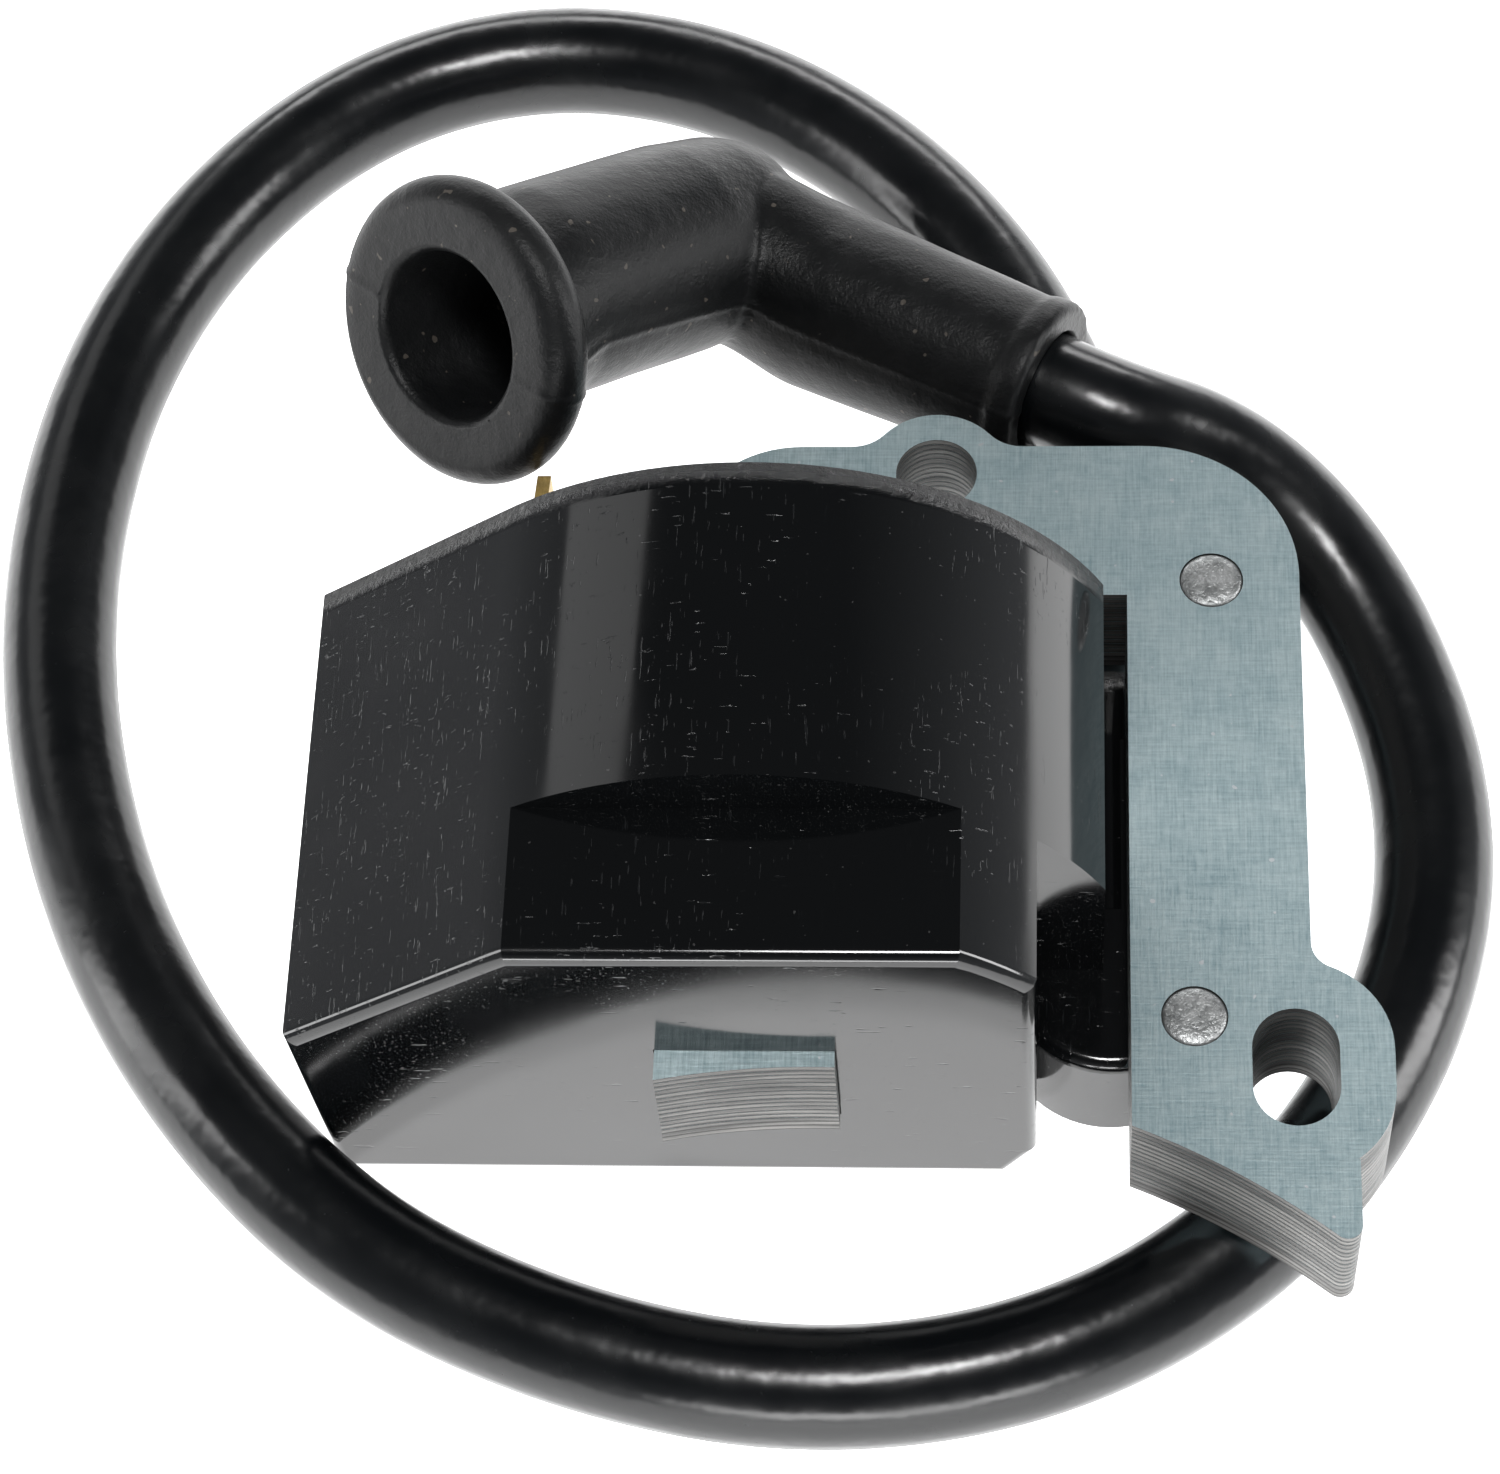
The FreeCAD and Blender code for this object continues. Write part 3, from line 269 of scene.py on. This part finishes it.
def core_steel():
    """Zinc-grey lamination steel: fine brushing along Y, mottling, small pits, dark cut edges. Faces
    pointing up or down are lighter and bluer, partly their own tone and partly a painted reflection of
    the surround; the upright cut edges are darker, partly their own tone and partly painted shade.
    """
    n = Nodes("core_steel")
    brushed = n.noise(9000, 3, 0.6, n.scaled((1.0, 0.05, 1.0)))
    cross = n.noise(7000, 2, 0.5, n.scaled((0.06, 1.0, 1.0)))
    cloud = n.noise(330, 5, 0.6)
    grain = n.noise(2600, 3, 0.6)
    pit = n.remap(n.noise(1500, 1, 0.4), 0.76, 0.785, 0, 1)
    tone = n.maths("ADD", n.maths("MULTIPLY", brushed, 0.35), n.maths("MULTIPLY", cross, 0.2))
    tone = n.maths("ADD", tone, n.maths("MULTIPLY", cloud, 0.25))
    tone = n.maths("ADD", tone, n.maths("MULTIPLY", grain, 0.2))
    # Lighter blue-grey colour of the flat faces: the steel's own tone with a painted reflection of the
    # surround mixed in.
    face_tone_and_reflection = n.mix(n.remap(tone, 0.38, 0.62, 0, 1), (0.27, 0.37, 0.40, 1), (0.56, 0.68, 0.70, 1))
    face_tone_and_reflection = n.mix(pit, face_tone_and_reflection, (0.62, 0.66, 0.68, 1))
    upright = n.add("ShaderNodeSeparateXYZ", {0: n.add("ShaderNodeNewGeometry").outputs["Normal"]})
    flat = n.remap(n.maths("ABSOLUTE", upright.outputs["Z"]), 0.5, 0.9, 0, 1)
    height = n.add("ShaderNodeSeparateXYZ", {0: n.place}).outputs["Z"]
    layer = n.maths("FRACT", n.maths("MULTIPLY", height, 1 / SHEET_PITCH))
    seam = n.remap(n.maths("ABSOLUTE", n.maths("SUBTRACT", layer, 0.5)), 0.24, 0.42, 0, 1)
    worn = n.noise(2200, 2, 0.5, n.scaled((0.05, 0.05, 1.0)))
    # Darker colour of the upright cut edges: their own tone, partly painted shade.
    shaded_edge_tone = n.mix(n.remap(worn, 0.35, 0.65, 0, 1), (0.09, 0.09, 0.088, 1), (0.26, 0.255, 0.245, 1))
    edge = n.mix(n.maths("MULTIPLY", seam, 0.9), shaded_edge_tone, (0.035, 0.034, 0.033, 1))
    # Faces pointing up or down get the lighter colour and upright faces the darker one: painted
    # reflection and painted shade chosen by the surface's direction.
    colour = n.mix(flat, edge, face_tone_and_reflection)
    n.bump(tone, 0.00008, 0.6)
    rough = n.remap(tone, 0.35, 0.65, 0.56, 0.42)
    return n.finish(Base_Color=colour, Metallic=0.75, Roughness=rough, Anisotropic=0.35)


def rivet_steel():
    """Rivet ends, turned and scuffed."""
    n = Nodes("rivet_steel")
    cloud = n.noise(900, 4, 0.65)
    grain = n.noise(4200, 3, 0.6)
    colour = n.mix(n.remap(cloud, 0.35, 0.65, 0, 1), (0.24, 0.25, 0.25, 1), (0.55, 0.56, 0.56, 1))
    n.bump(n.maths("ADD", cloud, n.maths("MULTIPLY", grain, 0.4)), 0.00012)
    rough = n.remap(grain, 0.3, 0.7, 0.32, 0.5)
    return n.finish(Base_Color=colour, Metallic=0.85, Roughness=rough)


def brass():
    """Stamped brass, drawn lengthways, a little tarnished."""
    n = Nodes("terminal_brass")
    drawn = n.noise(6000, 3, 0.6, n.scaled((1.0, 0.06, 1.0)))
    stain = n.noise(420, 4, 0.6)
    bright = n.mix(n.remap(drawn, 0.35, 0.65, 0, 1), (0.62, 0.42, 0.13, 1), (0.80, 0.58, 0.22, 1))
    colour = n.mix(n.remap(stain, 0.55, 0.75, 0, 0.6), bright, (0.34, 0.22, 0.08, 1))
    n.bump(drawn, 0.00004)
    return n.finish(Base_Color=colour, Metallic=0.55, Roughness=n.remap(stain, 0.3, 0.7, 0.34, 0.46))


def resin():
    """Poured resin: glossy, slightly wavy, with a few bubbles."""
    n = Nodes("resin")
    wave = n.noise(120, 2)
    bubble = n.add("ShaderNodeTexVoronoi", {"Vector": n.place, "Scale": 520.0}).outputs["Distance"]
    pop = n.remap(bubble, 0.05, 0.16, 0, 1)
    colour = n.mix(n.remap(wave, 0.4, 0.6, 0, 1), (0.008, 0.007, 0.006, 1), (0.018, 0.015, 0.012, 1))
    n.bump(n.maths("ADD", wave, n.maths("MULTIPLY", pop, 0.15)), 0.0003)
    return n.finish(Base_Color=colour, Roughness=n.remap(wave, 0.3, 0.7, 0.10, 0.2))


def plain(name, dark, light, scale, rough, metal=0.0, depth=0.00005):
    """A mottled finish for the pieces inside."""
    n = Nodes(name)
    cloud = n.noise(scale, 4, 0.6)
    colour = n.mix(n.remap(cloud, 0.35, 0.65, 0, 1), (*dark, 1), (*light, 1))
    n.bump(n.noise(scale * 4, 3), depth)
    roughness = n.remap(cloud, 0.3, 0.7, rough - 0.06, rough + 0.06)
    return n.finish(Base_Color=colour, Roughness=roughness, Metallic=metal)


def wound_wire():
    """Enamelled copper wire, wound round Y in fine turns, with painted shade darkening the grooves
    between the turns.
    """
    n = Nodes("copper_wire")
    settings = {"wave_type": "BANDS", "bands_direction": "Y", "wave_profile": "SIN"}
    turns = n.add("ShaderNodeTexWave", {"Vector": n.place, "Scale": 560.0}, **settings).outputs["Fac"]
    cloud = n.noise(500, 3)
    # Painted shade: the colour darkens towards the grooves between the turns, by an amount that varies
    # at random.
    groove_shade_and_tone = n.maths("MULTIPLY", turns, n.remap(cloud, 0.3, 0.7, 0.7, 1.0))
    colour = n.mix(groove_shade_and_tone, (0.12, 0.03, 0.012, 1), (0.55, 0.20, 0.07, 1))
    n.bump(turns, 0.00012)
    return n.finish(Base_Color=colour, Metallic=0.7, Roughness=0.32)


def floor_white():
    """A pale sweep with the faintest tone."""
    n = Nodes("floor_white")
    colour = n.mix(n.noise(6, 2), (0.90, 0.905, 0.91, 1), (0.94, 0.94, 0.945, 1))
    glow = {"Emission_Color": (1.0, 1.0, 1.0, 1), "Emission_Strength": 1.5}
    return n.finish(Base_Color=colour, Roughness=0.45, Specular_IOR_Level=0.3, **glow)


MATERIALS = {
    "core_steel": core_steel(),
    "rivet_steel": rivet_steel(),
    "case_plastic": case_plastic(),
    "resin": resin(),
    "terminal_brass": brass(),
    "boot_rubber": boot_rubber(),
    "lead_rubber": lead_rubber(),
    "copper_wire": wound_wire(),
    "bobbin_nylon": plain("bobbin_nylon", (0.62, 0.58, 0.47), (0.74, 0.70, 0.60), 400, 0.42),
    "insulating_paper": plain("insulating_paper", (0.40, 0.27, 0.12), (0.55, 0.40, 0.20), 900, 0.6),
    "board_laminate": plain("board_laminate", (0.02, 0.09, 0.035), (0.04, 0.15, 0.06), 1500, 0.35),
    "component_black": plain("component_black", (0.012, 0.012, 0.013), (0.03, 0.03, 0.03), 2500, 0.55),
    "resistor_body": plain("resistor_body", (0.40, 0.30, 0.17), (0.56, 0.45, 0.28), 1200, 0.4),
    "spike_steel": plain("spike_steel", (0.42, 0.42, 0.42), (0.62, 0.62, 0.62), 2500, 0.25, 1.0),
    "spring_steel": plain("spring_steel", (0.36, 0.36, 0.37), (0.60, 0.60, 0.60), 2500, 0.28, 1.0),
}


def paint_frame():
    """Gives every CAD node its slot's material."""
    slots = {part["node"]: part["material_slot"] for part in frame["record"]["subparts"]}
    for name, obj in frame["nodes"].items():
        material = MATERIALS[slots[name]]
        if not obj.material_slots:
            obj.data.materials.append(material)
        for entry in obj.material_slots:
            entry.material = material


# ---------------------------------------------------------------- mesh helpers


def mesh_object(name, bm):
    """An object from a bmesh in millimetres, smooth shaded."""
    bmesh.ops.scale(bm, vec=(MM, MM, MM), verts=bm.verts)
    bmesh.ops.recalc_face_normals(bm, faces=bm.faces)
    data = bpy.data.meshes.new(name)
    bm.to_mesh(data)
    bm.free()
    data.shade_smooth()
    return link(bpy.data.objects.new(name, data))


def turned(profile, axis, start, steps=64):
    """A bmesh turned from (radius, along) points about an axis; radius zero closes an end."""
    bm = bmesh.new()
    turn = Vector((0, 0, 1)).rotation_difference(axis).to_matrix()
    rings = []
    for radius, along in profile:
        count = 1 if radius == 0 else steps
        ring = []
        for index in range(count):
            angle = 2 * math.pi * index / steps
            local = Vector((radius * math.cos(angle), radius * math.sin(angle), along))
            ring.append(bm.verts.new(start + turn @ local))
        rings.append(ring)
    for lower, upper in zip(rings, rings[1:]):
        for index in range(steps):
            after = (index + 1) % steps
            corners = [lower[index % len(lower)], lower[after % len(lower)]]
            corners += [upper[after % len(upper)], upper[index % len(upper)]]
            bm.faces.new(list(dict.fromkeys(corners)))
    return bm


def arc_profile(middle, radius, start, end, steps):
    """Points (radius, along) of an arc, angles in degrees."""
    points = []
    for index in range(steps + 1):
        angle = math.radians(start + (end - start) * index / steps)
        points.append((middle[0] + radius * math.cos(angle), middle[1] + radius * math.sin(angle)))
    return points


def apply_modifier(obj, kind, **settings):
    """Adds a modifier and bakes it into the object's mesh."""
    modifier = obj.modifiers.new(kind.lower(), kind)
    for key, value in settings.items():
        setattr(modifier, key, value)
    graph = bpy.context.evaluated_depsgraph_get()
    data = bpy.data.meshes.new_from_object(obj.evaluated_get(graph))
    obj.modifiers.clear()
    obj.data = data


def discard(*objs):
    """Removes helper objects."""
    for obj in objs:
        bpy.data.objects.remove(obj)


# ---------------------------------------------------------------- rubber boot

BOOT_VOXEL = 0.26
PLUG_RADIUS = 6.55
TAIL = 2.6
LIP_ROUND = 1.65
LIP_MIDDLE = 7.65
KNEE_RADIUS = 5.8
ARM_BACK = 0.8

MOUTH_RADIUS = 5.05
MOUTH_START = 12.3
THROAT_RADIUS = 4.15
LEAD_HOLE_RADIUS = 3.62
CUT_PAST = 2

CREASE_SIDE = 5.5
CREASE_REACH = 4.5
CREASE_PASSES = 8
SEAM_WIDTH = 0.22
SEAM_HEIGHT = 0.10
WOBBLE = 0.03

# The bow's height and direction. Each pair is where it starts from nothing and where it is full.
BOW_HEIGHT = 0.9
BOW_UP = Vector((-0.184, 0.717, 0.673)).normalized()
BOW_FROM_TAIL = (-4, 1)
BOW_FROM_FLANGE = (21.2, 17)
BOW_FROM_ARM = (8, 3)


def boot_outside():
    """The boot's outer skin: two limbs and an elbow melted together."""
    lip = arc_profile((LIP_MIDDLE, PLUG_LENGTH - LIP_ROUND), LIP_ROUND, -90, 90, 14)
    plug = [(0, -TAIL), (4.4, -TAIL)] + arc_profile((4.6, -1.2), 1.4, -90, 0, 6)
    plug += [(PLUG_RADIUS, 5), (PLUG_RADIUS, PLUG_LENGTH - 4.6), (6.9, PLUG_LENGTH - 3.6)]
    plug += lip + [(0, PLUG_LENGTH)]
    arm_start = ELBOW + Vector((0, -ARM_BACK, 0))
    arm_axis = ARM_END - arm_start
    length = arm_axis.length
    arm = [(0, -1), (5.9, -1), (5.8, 6), (5.3, length - 1.9), (5.5, length - 1.5)]
    arm += [(5.5, length - 0.35), (5.25, length), (0, length)]
    knee = arc_profile((0, 0), KNEE_RADIUS, -90, 90, 24)
    knee[0] = (0, -KNEE_RADIUS)
    knee[-1] = (0, KNEE_RADIUS)
    parts = [
        mesh_object("boot_plug_limb", turned(plug, PLUG_AXIS, ELBOW, 96)),
        mesh_object("boot_arm", turned(arm, arm_axis.normalized(), arm_start, 96)),
        mesh_object("boot_knee", turned(knee, Vector((0, 0, 1)), ELBOW, 48)),
    ]
    bm = bmesh.new()
    for part in parts:
        bm.from_mesh(part.data)
    discard(*parts)
    bmesh.ops.scale(bm, vec=(1 / MM, 1 / MM, 1 / MM), verts=bm.verts)
    skin = mesh_object("plug_boot_skin", bm)
    apply_modifier(skin, "REMESH", mode="VOXEL", voxel_size=BOOT_VOXEL * MM)
    return skin


def soften_boot(skin):
    """Rounds the crease between the limbs, and raises the mould's parting line."""
    arm_axis = (ARM_END - ELBOW).normalized()
    middle = ELBOW + (PLUG_AXIS + arm_axis) * CREASE_SIDE
    bm = bmesh.new()
    bm.from_mesh(skin.data)
    near = [v for v in bm.verts if (v.co / MM - middle).length < CREASE_REACH]
    settings = {"factor": 0.5, "use_axis_x": True, "use_axis_y": True, "use_axis_z": True}
    for _ in range(CREASE_PASSES):
        bmesh.ops.smooth_vert(bm, verts=near, **settings)
    bmesh.ops.smooth_vert(bm, verts=bm.verts, **settings)
    across = PLUG_AXIS.cross(arm_axis).normalized()
    bm.normal_update()
    for vert in bm.verts:
        place = vert.co / MM - ELBOW
        seam = math.exp(-((place.dot(across) / SEAM_WIDTH) ** 2))
        wobble = WOBBLE * noise.noise(place * 0.25)
        vert.co += vert.normal * ((SEAM_HEIGHT * seam + wobble) * MM)
    bm.to_mesh(skin.data)
    bm.free()


def ease(value, start, end):
    """A smooth step from 0 at start to 1 at end; start may be the larger."""
    share = max(0.0, min(1.0, (value - start) / (end - start)))
    return share * share * (3 - 2 * share)


def bow_boot(skin):
    """Bows the plug limb's outside upwards between elbow and flange."""
    arm_axis = (ARM_END - ELBOW).normalized()
    for vert in skin.data.vertices:
        place = vert.co / MM - ELBOW
        along, past_arm = place.dot(PLUG_AXIS), place.dot(arm_axis)
        share = ease(along, *BOW_FROM_TAIL) * ease(along, *BOW_FROM_FLANGE)
        share *= ease(past_arm, *BOW_FROM_ARM)
        vert.co += BOW_UP * (BOW_HEIGHT * share * MM)


def build_boot():
    """The finished boot, with its mouth and the hole for the lead."""
    skin = boot_outside()
    soften_boot(skin)
    bow_boot(skin)
    arm_axis = (ARM_END - ELBOW).normalized()
    mouth = [(0, 11.8), (4.6, 11.8), (MOUTH_RADIUS, MOUTH_START), (MOUTH_RADIUS, PLUG_LENGTH - 0.5)]
    mouth += [(5.35, PLUG_LENGTH - 0.1), (5.9, PLUG_LENGTH + 0.2)]
    mouth += [(5.9, PLUG_LENGTH + CUT_PAST), (0, PLUG_LENGTH + CUT_PAST)]
    throat = [(0, -2.4), (THROAT_RADIUS, -2.4), (THROAT_RADIUS, 13), (0, 13)]
    length = (ARM_END - ELBOW).length
    arm_hole = [(0, 0), (LEAD_HOLE_RADIUS, 0), (LEAD_HOLE_RADIUS, length - 0.5)]
    arm_hole += [(3.95, length + 0.1), (3.95, length + CUT_PAST), (0, length + CUT_PAST)]
    tools = [
        mesh_object("cut_mouth", turned(mouth, PLUG_AXIS, ELBOW, 96)),
        mesh_object("cut_throat", turned(throat, PLUG_AXIS, ELBOW, 64)),
        mesh_object("cut_arm", turned(arm_hole, arm_axis, ELBOW, 96)),
    ]
    for tool in tools:
        apply_modifier(skin, "BOOLEAN", operation="DIFFERENCE", object=tool, solver="EXACT")
    discard(*tools)
    skin.data.materials.clear()
    skin.data.materials.append(MATERIALS["boot_rubber"])
    skin.data.shade_smooth()
    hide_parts("plug_boot")
    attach(skin, BODY)
    return skin


# ---------------------------------------------------------------- rivets


def build_rivets():
    """Rivets with a shallow dome and a scuffed, dimpled middle at each end."""
    for name in ("core_rivet_rear", "core_rivet_front", "core_rivet_left"):
        low, high = (corner / MM for corner in map(Vector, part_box(name)))
        middle = (low + high) / 2
        radius = (high.x - low.x) / 2
        half = (high.z - low.z) / 2
        end = [(0.0, half - 0.02), (0.28, half), (0.9, half - 0.005), (1.35, half - 0.04)]
        end += [(1.62, half - 0.10), (radius - 0.04, half - 0.18), (radius, half - 0.30)]
        profile = [(r, -z) for r, z in end] + [(r, z) for r, z in reversed(end)]
        bm = turned(profile, Vector((0, 0, 1)), middle, 56)
        rivet = mesh_object(f"{name}_domed", bm)
        rivet.data.materials.append(MATERIALS["rivet_steel"])
        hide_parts(name)
        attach(rivet, BODY)


# ---------------------------------------------------------------- stage


FLOOR_SIZE = 3.0

# Name, place in metres, width and height in metres, and power in watts. All face the origin.
LIGHTS = [
    ("key", (-0.02, 0.52, 0.20), 0.50, 0.10, 0.9),
    ("left", (-0.50, -0.04, 0.20), 0.12, 0.40, 0.8),
    ("right", (0.50, 0.02, 0.26), 0.14, 0.34, 1.3),
    ("front", (0.05, -0.52, 0.10), 0.44, 0.10, 1.2),
    ("over", (0.02, -0.10, 0.60), 0.12, 0.12, 1.5),
    ("glow", (-0.36, 0.30, 0.34), 0.34, 0.20, 0.16),
]

# The surround's strength falls between two heights of the direction looked in.
SURROUND_FADE = {"From Min": 0.1, "From Max": 0.75, "To Min": 0.34, "To Max": 0.05}
SURROUND_COLOUR = (0.93, 0.96, 1.0, 1)


def build_stage():
    """Pale floor, soft lights, and a pale surround that darkens overhead."""
    bpy.ops.mesh.primitive_plane_add(size=FLOOR_SIZE, location=(0, 0, 0))
    floor = bpy.context.object
    floor.name = "floor"
    floor.data.materials.append(floor_white())
    for name, place, wide, high, power in LIGHTS:
        data = bpy.data.lights.new(name, "AREA")
        data.shape = "RECTANGLE"
        data.size = wide
        data.size_y = high
        data.energy = power
        light = link(bpy.data.objects.new(name, data))
        light.location = place
        light.rotation_euler = (-Vector(place)).to_track_quat("-Z", "Y").to_euler()
    world = bpy.data.worlds.new("surround")
    world.use_nodes = True
    nodes, links = world.node_tree.nodes, world.node_tree.links
    background = nodes["Background"]
    look = nodes.new("ShaderNodeTexCoord")
    split = nodes.new("ShaderNodeSeparateXYZ")
    links.new(look.outputs["Generated"], split.inputs[0])
    fade = nodes.new("ShaderNodeMapRange")
    for key, value in SURROUND_FADE.items():
        fade.inputs[key].default_value = value
    links.new(split.outputs["Z"], fade.inputs["Value"])
    links.new(fade.outputs["Result"], background.inputs["Strength"])
    background.inputs["Color"].default_value = SURROUND_COLOUR
    bpy.context.scene.world = world
    bpy.context.scene.view_settings.view_transform = "Standard"


build_camera()
lead = build_lead()
lead.data.materials.append(MATERIALS["lead_rubber"])
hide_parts("lead_jacket")
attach(lead, BODY)
paint_frame()
boot = build_boot()
build_rivets()
build_stage()
